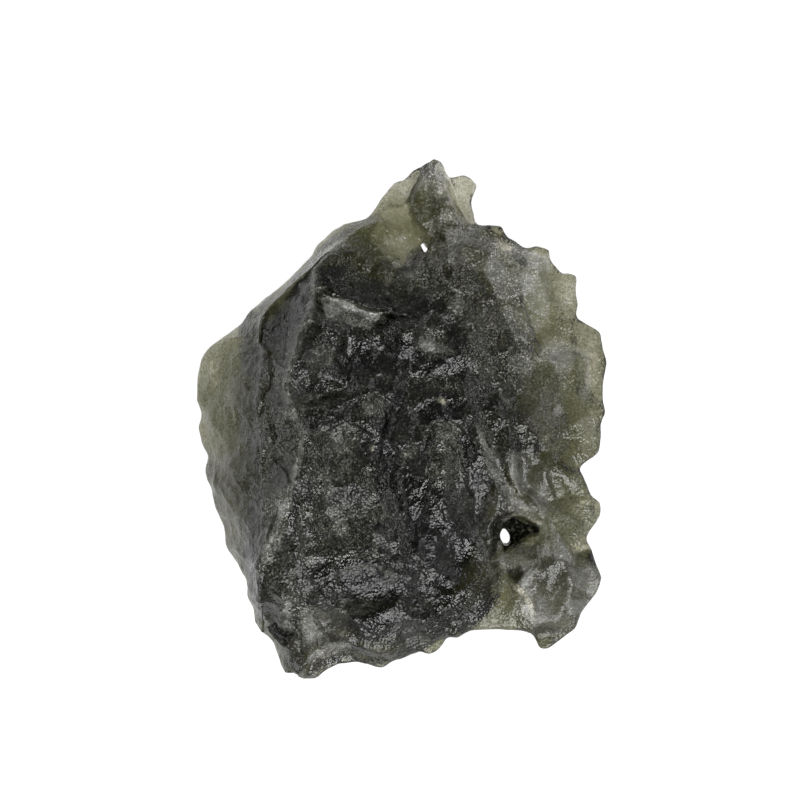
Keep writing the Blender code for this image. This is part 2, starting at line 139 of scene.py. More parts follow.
world = bpy.data.worlds.new("soft surround")
bpy.context.scene.world = world
world.use_nodes = True
tree = world.node_tree
where = tree.nodes.new("ShaderNodeTexCoord")
parts = tree.nodes.new("ShaderNodeSeparateXYZ")
fade = tree.nodes.new("ShaderNodeMapRange")
fade.inputs["From Min"].default_value = FADE_STARTS
fade.inputs["From Max"].default_value = 1.0
fade.inputs["To Min"].default_value = ALL_ROUND
fade.inputs["To Max"].default_value = OVERHEAD
tree.links.new(where.outputs["Generated"], parts.inputs["Vector"])
tree.links.new(parts.outputs["Z"], fade.inputs["Value"])
tree.links.new(fade.outputs["Result"], tree.nodes["Background"].inputs["Strength"])
tree.nodes["Background"].inputs["Color"].default_value = (1, 1, 1, 1)


def soft_light(name, location, size, watts):
    """A square soft light that faces the stone."""
    bpy.ops.object.light_add(type="AREA", location=location)
    light = bpy.context.active_object
    light.name = name
    light.data.size = size
    light.data.energy = watts
    aim = Vector((0, 0, RIM_HEIGHT)) - Vector(location)
    light.rotation_euler = aim.to_track_quat("-Z", "Y").to_euler()
    return light


soft_light("soft light, near side", (0.10, -0.36, 0.42), 0.34, 2.6)
soft_light("soft light, left", (-0.46, 0.10, 0.30), 0.30, 0.6)
soft_light("soft light, right", (0.42, 0.16, 0.34), 0.26, 0.5)
bpy.context.scene.view_settings.view_transform = "Standard"
print("surround", ALL_ROUND, "to", OVERHEAD, "overhead, and three soft lights")

# %% [markdown]
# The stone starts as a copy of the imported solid. The solid's mesh is loose triangles, so the
# copy's doubles are merged first. Voxel Remesh then lays even small squares all over it, which is
# what the fine etching needs, and a little smoothing takes the solid's flat facets away. Sculpting
# by hand would give the same, but could not be run again from the solid.

# %% A fine skin over a copy of the solid
SKIN_SQUARE = 0.135 * MM
SMOOTH_ROUNDS = 2
SMOOTH_SHARE = 0.5
SAME_POINT = 0.0001 * MM

solid = frame["nodes"]["moldavite"]
bpy.ops.object.select_all(action="DESELECT")
solid.select_set(True)
bpy.context.view_layer.objects.active = solid
bpy.ops.object.duplicate()
stone = bpy.context.active_object
bpy.ops.object.parent_clear(type="CLEAR_KEEP_TRANSFORM")
bpy.ops.object.transform_apply(location=True, rotation=True, scale=True)
stone.name = "stone"
stone.data.name = "stone"
stone.data.materials.clear()
bpy.ops.mesh.customdata_custom_splitnormals_clear()
bpy.ops.object.mode_set(mode="EDIT")
bpy.ops.mesh.select_all(action="SELECT")
bpy.ops.mesh.remove_doubles(threshold=SAME_POINT)
bpy.ops.object.mode_set(mode="OBJECT")


def modifier(kind, name, **settings):
    """Add a modifier to the stone with these settings, and apply it."""
    added = stone.modifiers.new(name, kind)
    for setting, value in settings.items():
        setattr(added, setting, value)
    bpy.ops.object.modifier_apply(modifier=added.name)


modifier("REMESH", "even squares", mode="VOXEL", voxel_size=SKIN_SQUARE)
modifier("SMOOTH", "soften facets", factor=SMOOTH_SHARE, iterations=SMOOTH_ROUNDS)
print("skin of", len(stone.data.polygons), "squares")

# %% [markdown]
# The underside is seldom seen, and a piece should have fewer than 200,000 triangles. The faces
# that look down are selected by their normals, and Decimate in edit mode keeps about a third of
# them, so the small squares are kept for the broad face.

# %% A coarser underside
LOOKS_DOWN = -0.25
UNDERSIDE_KEPT = 0.35

bpy.ops.object.mode_set(mode="EDIT")
bpy.ops.mesh.select_mode(type="FACE")
bpy.ops.mesh.select_all(action="DESELECT")
bpy.ops.object.mode_set(mode="OBJECT")
slopes = np.empty(len(stone.data.polygons) * 3, dtype=np.float32)
stone.data.polygons.foreach_get("normal", slopes)
stone.data.polygons.foreach_set("select", slopes[2::3] < LOOKS_DOWN)
bpy.ops.object.mode_set(mode="EDIT")
bpy.ops.mesh.decimate(ratio=UNDERSIDE_KEPT)
bpy.ops.object.mode_set(mode="OBJECT")
stone.data.calc_loop_triangles()
print("skin of", len(stone.data.loop_triangles), "triangles")

# %% [markdown]
# Etching goes deep in the thick middle and hardly shows on the thin splintered rims. To know where
# the stone is thick, each point of the skin looks up and down from just under the surface, and
# the two distances to the glass's far sides are added.

# %% How thick the stone is
JUST_UNDER = 0.25 * MM

skin = BVHTree.FromObject(stone, bpy.context.evaluated_depsgraph_get())
count = len(stone.data.vertices)
spots = np.empty(count * 3, dtype=np.float32)
stone.data.vertices.foreach_get("co", spots)
spots = spots.reshape(-1, 3)
facing = np.empty(count * 3, dtype=np.float32)
stone.data.vertex_normals.foreach_get("vector", facing)
facing = facing.reshape(-1, 3)


def reach(start, direction):
    """How far it is from start to the skin, or nothing where the skin isn't met."""
    return skin.ray_cast(start, direction)[3] or 0.0


UP, DOWN = Vector((0, 0, 1)), Vector((0, 0, -1))
thick = np.array(
    [reach(Vector(p), UP) + reach(Vector(p), DOWN) for p in spots - facing * JUST_UNDER]
)
print("thickest place, mm:", round(float(thick.max()) / MM, 1))

# %% [markdown]
# Marks follow the photograph: places that are smooth, frosted, bruised, dusty, black, clear or dull.
# Some of them are painted light and shade: lit and shaded facets go in with the frost, highlights
# along ridges with the bruises, two glints with the dust, and shade in hollows with the black. Each
# mark is an oval, a stroke along a line, or a patch inside an outline, placed by pixels of the
# photograph. Painting the marks by hand on the mesh would work too, but ovals and strokes can be read
# and changed as numbers. Each kind becomes one number for each point of the skin, which the etching
# and the material read.

# %% Ovals, strokes and patches
across = spots[:, 0] / PX + STONE_MIDDLE_PX[0]
down = STONE_MIDDLE_PX[1] - spots[:, 1] / PX


def ease(value, low, high):
    """0 at low and 1 at high, with a soft start and end."""
    share = np.clip((value - low) / (high - low), 0, 1)
    return share * share * (3 - 2 * share)


SIDE_FADE = (-0.25, 0.1)
OVAL_FADE = (0.75, 1.25)
STROKE_CORE = 0.3
PATCH_EDGE = 2.5

upper_side = ease(facing[:, 2], *SIDE_FADE)


def oval(px, py, length, width, turn):
    """1 inside an oval with these half sizes in pixels, fading to 0 just outside it."""
    cosine, sine = math.cos(math.radians(turn)), math.sin(math.radians(turn))
    along = (across - px) * cosine - (down - py) * sine
    aside = (across - px) * sine + (down - py) * cosine
    return 1 - ease(np.hypot(along / length, aside / width), *OVAL_FADE)


def apart(first, last):
    """How far each point is from a line between two pixels, and on which side of it."""
    (x0, y0), (x1, y1) = first, last
    long_x, long_y = x1 - x0, y1 - y0
    run = ((across - x0) * long_x + (down - y0) * long_y) / (long_x ** 2 + long_y ** 2)
    run = np.clip(run, 0, 1)
    away = np.hypot(across - x0 - run * long_x, down - y0 - run * long_y)
    return away, long_x * (down - y0) - long_y * (across - x0)


def stroke(width, *line):
    """1 along a line through these pixels, fading to 0 at this width from it."""
    nearest = np.min([apart(first, last)[0] for first, last in zip(line, line[1:])], axis=0)
    return 1 - ease(nearest, STROKE_CORE * width, width)


def together(marks):
    """The strongest of several marks at each point, on the upper side."""
    return np.max([strength * mark for strength, mark in marks], axis=0) * upper_side


def patch(*corners):
    """1 inside an outline through these pixels, fading to 0 over its edge."""
    line = (*corners, corners[0])
    inside = np.zeros(count, dtype=bool)
    for (x0, y0), (x1, y1) in zip(line, line[1:]):
        if y0 != y1:
            crossing = x0 + (down - y0) * (x1 - x0) / (y1 - y0)
            inside ^= ((y0 > down) != (y1 > down)) & (across < crossing)
    return np.maximum(inside, stroke(PATCH_EDGE, *line))


print("marks are placed on", count, "points")

# %% [markdown]
# Some scars are smooth, where a flake came off late and the acids had less time to eat the glass.
# The etching and the bump are held back there.

# %% Smooth scars
smooth = together([
    (0.1, oval(231, 470, 118, 30, 94)),
    (0.8, oval(402, 250, 34, 22, 100)),
    (0.8, oval(322, 632, 30, 20, 60)),
    (0.6, oval(372, 600, 34, 19, 0)),
    (0.9, oval(562, 590, 48, 46, 50)),
    (0.9, oval(526, 482, 30, 16, 105)),
    (0.8, oval(552, 480, 36, 32, 0)),
    (0.6, oval(350, 357, 24, 10, 80)),
    (0.6, oval(328, 393, 34, 8, 25)),
    (0.5, oval(550, 400, 60, 34, 80)),
    (0.6, oval(457, 200, 24, 20, 90)),
    (0.6, oval(478, 520, 44, 20, 100)),
    (0.6, oval(342, 655, 40, 12, 10)),
    (0.6, oval(290, 290, 50, 18, 40)),
])
print("smooth at", int((smooth > 0.5).sum()), "points")

# %% [markdown]
# Frost is a bloom of tiny pits that scatter light. A thin frost lies all over the stone. The patches
# on top of it are painted light and shade: more frost makes a facet lighter, as on lumps and ledges
# that face the lights, and less frost makes it darker, as in hollows and under ledges where shade
# falls. The marks here are added up, and a minus takes frost away.

# %% Frost, with painted light and shade
FROST_ALL_OVER = 0.18
MOST_FROST_AND_LIGHT = 1.6

frost_and_painted_light = FROST_ALL_OVER + upper_side * sum([
    # Patches added to the thin frost are painted light on lit facets, and patches taken away are
    # painted shade.
    0.42 * patch((245, 322), (286, 288), (318, 255), (345, 230), (340, 246), (303, 279), (262, 320)),
    -0.59 * patch((307, 277), (287, 291), (273, 305), (262, 322), (261, 344), (270, 352), (298, 322)),
    0.25 * patch((262, 350), (290, 345), (296, 400), (300, 450), (290, 520), (270, 545), (262, 500)),
    -0.59 * patch((318, 264), (345, 249), (372, 268), (380, 292), (345, 300), (327, 293), (318, 286)),
    0.94 * patch((322, 297), (345, 305), (364, 313), (379, 317), (370, 329), (350, 325), (330, 318)),
    -0.42 * patch((346, 300), (363, 295), (378, 301), (440, 298), (446, 314), (400, 320), (368, 309)),
    0.51 * oval(326, 358, 13, 10, 0),
    -0.59 * oval(348, 362, 20, 11, 75),
    0.35 * stroke(9, (298, 402), (330, 401), (348, 396)),
    0.59 * oval(377, 405, 14, 11, 0),
    0.42 * oval(347, 438, 14, 16, 0),
    0.68 * oval(410, 452, 8, 6, 0),
    0.68 * oval(443, 430, 15, 9, 0),
    0.42 * oval(446, 460, 17, 26, 0),
    -0.42 * stroke(13, (396, 394), (384, 433), (388, 479)),
    -0.51 * stroke(10, (412, 466), (414, 500), (420, 540)),
    -0.51 * patch((413, 517), (446, 520), (462, 560), (460, 592), (440, 590), (428, 560)),
    0.34 * oval(327, 484, 8, 14, 0),
    0.51 * oval(342, 526, 9, 10, 0),
    0.34 * oval(380, 511, 9, 9, 0),
    0.34 * patch((300, 430), (330, 430), (372, 470), (378, 560), (340, 575), (305, 560), (300, 500)),
    -0.34 * oval(379, 525, 8, 5, 0),
    0.51 * stroke(9, (340, 577), (365, 566), (392, 574)),
    -0.42 * oval(326, 577, 9, 14, 0),
    0.51 * oval(292, 412, 4, 12, 80),
    0.51 * oval(288, 500, 15, 8, 80),
    0.59 * patch((528, 253), (550, 253), (551, 268), (545, 276), (536, 266), (527, 268)),
    -0.59 * patch((530, 246), (553, 247), (553, 253), (530, 252)),
    0.42 * patch((522, 274), (553, 281), (577, 284), (577, 302), (563, 307), (545, 318), (524, 305)),
    -0.51 * patch((558, 273), (581, 274), (580, 281), (560, 280)),
    0.59 * oval(476, 230, 9, 4, 0),
    -0.42 * patch((487, 228), (512, 236), (512, 244), (486, 241)),
    0.34 * oval(493, 271, 12, 12, 0),
    -0.42 * patch((441, 267), (484, 274), (494, 299), (477, 302), (450, 285)),
    0.42 * oval(456, 303, 8, 17, 0),
    -0.42 * oval(456, 335, 11, 17, 0),
    0.42 * oval(427, 346, 8, 7, 0),
    0.42 * oval(519, 364, 15, 11, 0),
    -0.42 * oval(518, 347, 7, 5, 0),
    0.51 * oval(562, 360, 12, 16, 0),
    -0.34 * oval(580, 373, 5, 18, 0),
    -0.51 * stroke(7, (604, 352), (606, 372), (602, 400)),
    0.68 * oval(557, 410, 5, 6, 0),
    -0.42 * oval(493, 396, 6, 9, 0),
    -0.51 * oval(440, 412, 22, 9, 0),
    0.59 * patch((476, 425), (487, 450), (510, 456), (511, 474), (497, 484), (487, 469), (480, 450)),
    0.45 * patch((511, 455), (536, 456), (548, 480), (546, 508), (532, 496), (518, 486), (511, 472)),
    0.59 * patch((500, 487), (512, 480), (534, 498), (548, 514), (530, 518), (512, 508)),
    -0.51 * stroke(5, (549, 487), (558, 505), (576, 519), (587, 531)),
    -0.42 * patch((498, 541), (512, 544), (537, 545), (537, 564), (520, 566), (500, 560)),
    0.59 * patch((521, 562), (531, 563), (531, 583), (522, 585)),
    0.68 * patch((537, 524), (545, 524), (548, 553), (538, 555)),
    0.59 * patch((551, 522), (560, 538), (570, 558), (566, 572), (556, 560), (551, 545)),
    -0.68 * patch((573, 550), (593, 550), (597, 562), (582, 566), (573, 560)),
    0.59 * patch((584, 562), (601, 574), (594, 596), (574, 584), (572, 570)),
    0.68 * patch((567, 601), (588, 600), (586, 612), (568, 613)),
    -0.68 * patch((534, 624), (558, 628), (557, 640), (540, 649)),
    -0.34 * oval(552, 585, 14, 18, 0),
    -0.51 * patch((264, 581), (287, 581), (286, 600), (276, 618), (263, 612)),
    0.77 * oval(290, 601, 4, 5, 0),
    0.85 * patch((280, 613), (287, 606), (292, 611), (291, 626), (287, 626), (281, 620)),
    -0.68 * patch((268, 627), (276, 621), (282, 627), (295, 632), (291, 637), (285, 645), (274, 638)),
    -0.42 * patch((285, 646), (295, 637), (305, 655), (300, 662), (287, 662)),
    0.59 * patch((300, 628), (308, 605), (317, 605), (326, 612), (320, 645), (309, 656), (303, 643)),
    0.42 * patch((297, 672), (312, 655), (327, 644), (352, 645), (357, 657), (335, 665), (305, 677)),
    -0.42 * patch((345, 585), (385, 580), (400, 610), (365, 625), (350, 615)),
    0.42 * patch((362, 632), (389, 632), (389, 660), (372, 668), (356, 655)),
    0.30 * oval(556, 590, 36, 42, 0),
    0.35 * oval(566, 400, 34, 64, 0),
    0.25 * oval(226, 470, 28, 118, 0),
    0.50 * stroke(9, (482, 430), (492, 452), (494, 468), (506, 486), (520, 503)),
    0.50 * stroke(9, (517, 458), (518, 472), (527, 484), (541, 492), (551, 506), (566, 518)),
    -0.50 * stroke(6, (503, 458), (505, 476), (516, 491), (532, 504)),
    -0.40 * stroke(7, (540, 470), (552, 486), (568, 500), (582, 514)),
    0.45 * stroke(8, (323, 294), (345, 303), (364, 311), (380, 318)),
    0.40 * stroke(7, (300, 650), (316, 634), (338, 630), (362, 638)),
    -0.40 * stroke(7, (312, 646), (330, 638), (352, 640)),
    0.40 * oval(432, 186, 14, 26, 0),
    0.55 * patch((440, 212), (500, 232), (548, 262), (548, 320), (520, 350), (500, 305), (450, 290),
                 (430, 262), (428, 230)),
    0.50 * oval(437, 345, 17, 9, 0),
    0.35 * oval(508, 345, 42, 38, 0),
    0.35 * oval(583, 375, 7, 28, 0),
    0.35 * oval(340, 262, 28, 14, 30),
    -0.70 * oval(346, 573, 26, 9, 5),
    -0.40 * oval(396, 614, 18, 9, 0),
    -0.50 * oval(480, 485, 13, 12, 0),
    -0.50 * oval(528, 456, 13, 24, 0),
    -0.35 * oval(460, 556, 18, 30, 0),
    -0.50 * oval(553, 572, 20, 14, 0),
    0.30 * patch((262, 545), (300, 545), (300, 600), (276, 640), (262, 600)),
    0.30 * oval(315, 650, 26, 12, 0),
    0.50 * oval(362, 604, 26, 8, 5),
    0.50 * oval(523, 600, 9, 20, 0),
    0.40 * oval(434, 182, 12, 20, 0),
    0.40 * oval(330, 256, 22, 9, 30),
    0.35 * oval(418, 264, 13, 22, 0),
    0.30 * oval(398, 262, 17, 26, 0),
    -0.20 * oval(474, 322, 10, 12, 0),
    0.40 * oval(535, 256, 18, 8, 0),
    0.35 * oval(584, 376, 8, 26, 0),
    -0.45 * oval(385, 357, 36, 15, 0),
    -0.35 * oval(430, 602, 52, 20, 0),
    -0.40 * oval(372, 570, 40, 11, 0),
    -0.35 * oval(376, 642, 30, 13, 0),
    -0.30 * stroke(9, (412, 505), (416, 560)),
    -0.50 * oval(455, 364, 20, 8, 0),
    0.40 * patch((446, 230), (500, 240), (540, 262), (535, 290), (505, 300), (470, 290), (450, 262)),
    0.35 * oval(468, 312, 16, 26, 0),
    -0.40 * patch((432, 520), (462, 520), (476, 560), (500, 600), (500, 628), (440, 630), (430, 580)),
    -0.40 * oval(360, 566, 40, 10, 0),
    -0.30 * oval(330, 492, 44, 12, 0),
    -0.30 * oval(470, 262, 18, 22, 0),
    0.40 * oval(430, 352, 26, 8, 0),
    0.40 * oval(338, 308, 16, 7, 25),
    0.40 * oval(560, 352, 20, 14, 0),
    0.15 * patch((498, 505), (545, 492), (600, 505), (600, 600), (560, 640), (535, 630), (520, 570)),
    0.40 * stroke(8, (348, 611), (372, 606), (398, 598)),
    -0.40 * oval(432, 368, 16, 6, 0),
    -0.30 * oval(332, 662, 14, 6, 0),
    -0.30 * oval(358, 640, 14, 10, 0),
    0.30 * oval(408, 283, 12, 10, 0),
    0.30 * oval(440, 300, 12, 10, 0),
    0.30 * oval(338, 246, 14, 8, 30),
    0.40 * oval(450, 384, 12, 8, 0),
    0.40 * oval(366, 410, 9, 9, 0),
    0.30 * oval(533, 600, 12, 14, 0),
    0.40 * oval(306, 622, 9, 20, 0),
    0.30 * oval(266, 462, 5, 22, 0),
    0.25 * oval(448, 570, 40, 50, 0),
    -0.40 * oval(385, 620, 18, 20, 0),
    -0.50 * oval(345, 660, 16, 6, 0),
    0.40 * patch((262, 500), (290, 500), (284, 548), (262, 548)),
    0.45 * patch((264, 580), (288, 580), (286, 622), (264, 622)),
    0.40 * oval(514, 560, 14, 12, 0),
    0.40 * oval(545, 605, 10, 14, 0),
    -0.40 * oval(408, 352, 8, 10, 0),
])
frost_and_painted_light = np.clip(frost_and_painted_light, 0, MOST_FROST_AND_LIGHT)
print("frost from", round(float(frost_and_painted_light.min()), 2), "to", round(float(frost_and_painted_light.max()), 2))

# %% [markdown]
# Sharp ridges carry thin chalky light lines along them: partly bruising from knocks, and partly
# painted highlight where the ridges catch the light. Clay from the ground has stayed as cream dust in
# small hollows and on a few rims, and two of the cream specks are painted glints.

# %% Bruised ridges with painted highlights, cream dust and painted glints
# Lighter lines along the ridges: partly wear, partly painted highlight.
ridge_wear_and_highlight = together([
    (0.8, stroke(6, (353, 236), (341, 245), (322, 259), (316, 266), (315, 277), (318, 288))),
    (0.7, stroke(6, (318, 288), (313, 297), (312, 318), (301, 335), (298, 352), (287, 385))),
    (0.8, stroke(5, (287, 385), (292, 402), (298, 420), (305, 432), (303, 455), (297, 470))),
    (0.8, stroke(5, (297, 470), (291, 492), (283, 506), (276, 530), (266, 556), (262, 575))),
    (0.6, stroke(4, (262, 575), (261, 592), (262, 612))),
    (0.7, stroke(4, (257, 341), (261, 325), (270, 308), (286, 293), (303, 278))),
    (0.8, stroke(5, (296, 672), (312, 655), (327, 644), (338, 642), (350, 644))),
    (0.8, stroke(3, (310, 675), (322, 667), (337, 663))),
    (0.6, stroke(4, (565, 550), (572, 562), (570, 580))),
    (0.9, stroke(4, (505, 521), (513, 514), (525, 514), (540, 523))),
    (0.7, stroke(3, (538, 526), (537, 540), (538, 552))),
    (0.7, stroke(3, (550, 523), (557, 537), (569, 559))),
    (0.5, stroke(4, (330, 575), (347, 567), (365, 563), (383, 567), (400, 575))),
    (0.5, stroke(3, (300, 408), (332, 404), (362, 388))),
    (0.6, stroke(3, (510, 455), (511, 473), (519, 487), (534, 496), (544, 510))),
    (0.6, stroke(3, (476, 425), (485, 451), (487, 469), (500, 488), (516, 510), (528, 516))),
    (0.4, stroke(3, (499, 393), (514, 410))),
])
dust_and_glints = together([
    (0.8, stroke(4, (515, 585), (524, 594), (530, 603), (532, 619))),
    (0.8, stroke(7, (591, 345), (592, 364), (591, 383))),
    (0.6, stroke(3, (226, 381), (231, 400), (235, 419))),
    (0.9, stroke(8, (213, 364), (215, 382))),
    (0.6, stroke(6, (447, 189), (450, 204))),
    (0.4, stroke(7, (462, 190), (470, 216))),
    (1.0, stroke(4, (440, 400), (443, 402))),
    (0.8, stroke(3, (373, 446), (373, 448))),
    (0.7, stroke(8, (499, 247), (506, 252))),
    (0.7, stroke(4, (574, 547), (588, 547))),
    (0.7, stroke(4, (581, 502), (590, 502))),
    # a painted glint
    (0.6, stroke(3, (545, 437), (546, 439))),
    (0.5, stroke(4, (591, 412), (594, 421))),
    # a painted glint above the black pocket
    (0.8, stroke(3, (320, 291), (326, 291))),
    (0.5, stroke(4, (277, 645), (279, 658))),
    (0.4, stroke(8, (203, 425), (200, 440))),
    (0.6, stroke(3, (506, 520), (514, 514), (526, 515), (538, 522))),
])
print("marked", int((ridge_wear_and_highlight > 0.5).sum()), "bruised points and", int((dust_and_glints > 0.5).sum()), "dusty")

# %% [markdown]
# A few hollows are deep enough to look black, first of all the recess with the hole in it, and black
# is painted into them as painted shade. Other places only let less light through than their thickness
# would, so they get a share of black, which darkens the glass.

# %% Painted shade in hollows, and dark glass
LOWER_LEFT_RIM = [(206, 470), (218, 520), (236, 562), (250, 600), (262, 640), (285, 668)]
RECESS = [
    (505, 523), (513, 518), (523, 523), (538, 528), (537, 532), (528, 534), (521, 539), (512, 543),
    (505, 549), (509, 537), (506, 530),
]
dark_glass_and_painted_shade = together([
    # painted shade in the recess, the pockets and the deepest scoops; the weaker marks darken the
    # glass
    (1.0, patch(*RECESS)),
    (0.9, oval(491, 394, 4, 4, 0)),
    (0.75, patch((508, 570), (520, 567), (521, 573), (515, 582), (509, 578))),
    (1.0, patch((268, 627), (276, 621), (282, 627), (295, 632), (285, 645), (274, 638))),
    (0.4, oval(523, 263, 5, 6, 0)),
    (0.4, stroke(7, (417, 176), (411, 196), (418, 214))),
    (0.3, stroke(6, (540, 262), (551, 298), (574, 313))),
    (0.25, stroke(8, (552, 330), (584, 331))),
    (0.8, patch((318, 292), (327, 292), (326, 297), (319, 298))),
    (0.5, oval(584, 554, 8, 4, 0)),
    (0.6, patch((534, 625), (558, 630), (556, 640), (540, 650))),
    (0.28, oval(231, 470, 118, 34, 94)),
    (0.66, oval(284, 640, 24, 32, 20)),
    (0.42, oval(552, 480, 28, 34, 100)),
    (0.20, oval(560, 600, 34, 44, 0)),
    (0.15, oval(575, 400, 26, 80, 0)),
    (0.25, stroke(9, (468, 440), (476, 468), (486, 488))),
    (0.30, oval(498, 618, 20, 12, 0)),
    (0.25, oval(526, 455, 14, 26, 0)),
    (0.35, oval(480, 486, 14, 13, 0)),
    (0.42, oval(446, 566, 50, 66, 350)),
    (0.55, oval(455, 548, 14, 28, 350)),
    (0.55, oval(478, 486, 12, 10, 0)),
    (0.55, oval(388, 618, 14, 9, 0)),
    (0.50, oval(552, 574, 14, 12, 0)),
    (0.40, oval(440, 367, 14, 7, 0)),
    (0.58, oval(494, 618, 20, 14, 0)),
    (0.25, oval(368, 600, 30, 18, 0)),
    (0.35, stroke(6, (431, 192), (435, 215), (440, 240))),
    (0.30, oval(482, 484, 13, 13, 0)),
    (0.30, oval(500, 460, 12, 12, 0)),
    (0.30, oval(566, 578, 26, 14, 0)),
    (0.30, oval(555, 572, 22, 16, 0)),
    (0.35, patch((270, 352), (264, 340), (266, 324), (276, 308), (292, 293), (300, 300), (288, 330))),
])
dark_glass_and_painted_shade = np.maximum(dark_glass_and_painted_shade, 0.60 * stroke(34, *LOWER_LEFT_RIM))
print("black at", int((dark_glass_and_painted_shade > 0.6).sum()), "points")

# %% [markdown]
# The thinnest glass is clear, with little frost on it. The lobes at the lower right are dull: an
# even fine grain covers them, so they look grey where the glass is as thin as elsewhere.

# %% Clear and dull glass
dull = together([
    (0.7, patch((538, 548), (572, 550), (604, 575), (598, 605), (560, 645), (536, 630), (534, 590))),
    (0.7, patch((498, 543), (538, 545), (534, 585), (520, 586), (500, 560))),
    (0.6, patch((511, 452), (538, 456), (552, 484), (560, 512), (532, 505), (516, 486), (508, 470))),
    (0.4, patch((540, 500), (580, 500), (600, 512), (586, 545), (548, 545))),
    (0.15, oval(560, 390, 40, 60, 0)),
    (0.3, oval(590, 440, 12, 20, 0)),
    (0.15, oval(326, 632, 24, 24, 0)),
])
clear = together([
    (0.9, patch((385, 212), (425, 205), (430, 232), (422, 262), (398, 268), (372, 240))),
    (1.0, patch((436, 176), (478, 174), (476, 226), (444, 222))),
    (0.7, stroke(14, (464, 224), (485, 233), (505, 241), (530, 256))),
    (0.5, patch((380, 200), (408, 172), (428, 172), (412, 205))),
    (0.5, patch((412, 178), (440, 160), (452, 190), (440, 232), (412, 232))),
    (0.9, patch((422, 160), (442, 160), (448, 176), (434, 186), (420, 180))),
    (0.3, oval(560, 320, 60, 26, 100)),
    (0.5, oval(563, 291, 16, 11, 0)),
    (0.5, oval(590, 365, 8, 26, 0)),
    (0.4, oval(586, 430, 10, 16, 0)),
    (0.6, patch((458, 487), (473, 476), (492, 482), (508, 508), (500, 545), (504, 570), (532, 606),
                (530, 628), (487, 628), (456, 605), (462, 560))),
])
print("clear at", int((clear > 0.5).sum()), "points, dull at", int((dull > 0.3).sum()))

# %% [markdown]
# When glass is struck, flakes come off it. A flake leaves a sharp step on one side and a smooth
# shallow shell that rises again behind it. Each flake here is a line along its sharp step. The
# skin is lowered on the line's right-hand side, most of all next to the line, and the recess is
# lowered with them. One Displace modifier works straight down and takes its depth from a vertex
# group, which is quicker and more even than cutting each step into the mesh.

# %% Flakes with sharp edges
STEPS = 100
MOST_OF_THICKNESS = 0.35
FAR_OFF = 1e9


def flake(height, width, *line):
    """How far a flake lowers the skin to the right of a line through these pixels, in metres."""
    nearest = np.full(count, FAR_OFF)
    lower_side = np.zeros(count, dtype=bool)
    for (x0, y0), (x1, y1) in zip(line, line[1:]):
        away, side = apart((x0, y0), (x1, y1))
        closer = away < nearest
        nearest = np.where(closer, away, nearest)
        lower_side = np.where(closer, side > 0, lower_side)
    return np.where(lower_side, height * MM * np.exp(-((nearest / width) ** 2)), 0)


def hold_back(name, weights):
    """A vertex group with a weight from 0 to 1 for each point of the skin."""
    group = stone.vertex_groups.new(name=name)
    levels = np.round(weights * STEPS)
    for level in np.unique(levels):
        group.add(np.flatnonzero(levels == level).tolist(), level / STEPS, "REPLACE")


CREST = [
    (262, 590), (266, 556), (283, 506), (291, 492), (297, 470), (303, 455), (305, 432), (298, 420),
    (292, 402), (287, 385), (298, 352), (301, 335), (312, 318), (313, 297), (318, 288), (315, 277),
    (316, 266), (322, 259), (341, 245), (353, 236),
]
RECESS_DEPTH = 0.7 * MM
flakes = np.max([
    flake(0.33, 13, *CREST),
    flake(0.57, 20, (271, 353), (260, 342), (261, 325), (270, 308), (286, 293), (303, 278)),
    flake(0.30, 18, (262, 345), (262, 366), (258, 400), (262, 450), (264, 495), (262, 535)),
    flake(0.57, 22, (320, 292), (345, 303), (364, 309), (381, 312)),
    flake(0.20, 20, (363, 387), (352, 398), (332, 404), (300, 408)),
    flake(0.42, 17, (528, 516), (516, 510), (500, 488), (487, 469), (485, 451), (470, 405)),
    flake(0.42, 17, (544, 510), (534, 496), (519, 487), (511, 473), (510, 455)),
    flake(0.30, 13, (587, 531), (576, 519), (558, 505), (551, 487)),
    flake(0.48, 18, (296, 672), (312, 655), (327, 644), (338, 642), (350, 644), (373, 652)),
    flake(0.42, 25, (303, 643), (300, 628), (308, 605), (326, 600), (345, 612)),
    flake(0.22, 26, (328, 576), (347, 567), (365, 563), (383, 567), (402, 576)),
    flake(0.39, 13, (538, 552), (537, 540), (538, 524)),
    flake(0.39, 13, (569, 559), (557, 537), (550, 523)),
    flake(0.57, 16, (532, 330), (522, 302), (522, 274), (530, 258)),
    flake(0.60, 14, (428, 175), (412, 198), (409, 215), (427, 236)),
    flake(0.68, 16, (460, 222), (449, 200), (446, 181)),
    flake(0.39, 18, (424, 442), (431, 423), (445, 417), (463, 430)),
    flake(0.33, 17, (362, 398), (377, 392), (392, 401)),
    flake(0.33, 12, (396, 449), (408, 443), (419, 449)),
    flake(0.33, 16, (312, 353), (326, 347), (340, 357)),
    flake(0.33, 20, (330, 527), (344, 514), (357, 523)),
    flake(0.33, 20, (483, 263), (495, 256), (509, 262)),
    flake(0.33, 20, (505, 354), (519, 349), (535, 358)),
    flake(0.30, 20, (547, 347), (560, 340), (575, 348)),
    flake(0.33, 18, (333, 428), (347, 420), (362, 428)),
    flake(0.33, 18, (448, 290), (456, 283), (466, 292)),
    flake(0.30, 10, (290, 502), (293, 484), (288, 470), (279, 462)),
    flake(0.30, 11, (264, 560), (268, 540), (275, 515), (284, 498)),
    flake(0.25, 9, (262, 470), (266, 450), (274, 436), (270, 410)),
    flake(0.25, 9, (262, 410), (266, 392), (272, 376), (270, 356)),
    flake(0.30, 12, (262, 632), (264, 600), (263, 566)),
], axis=0)
recess = patch(*RECESS)
flakes = np.maximum(flakes, RECESS_DEPTH * recess)
flakes = np.minimum(flakes, MOST_OF_THICKNESS * thick) * upper_side
deepest = float(flakes.max())
hold_back("flakes", flakes / deepest)
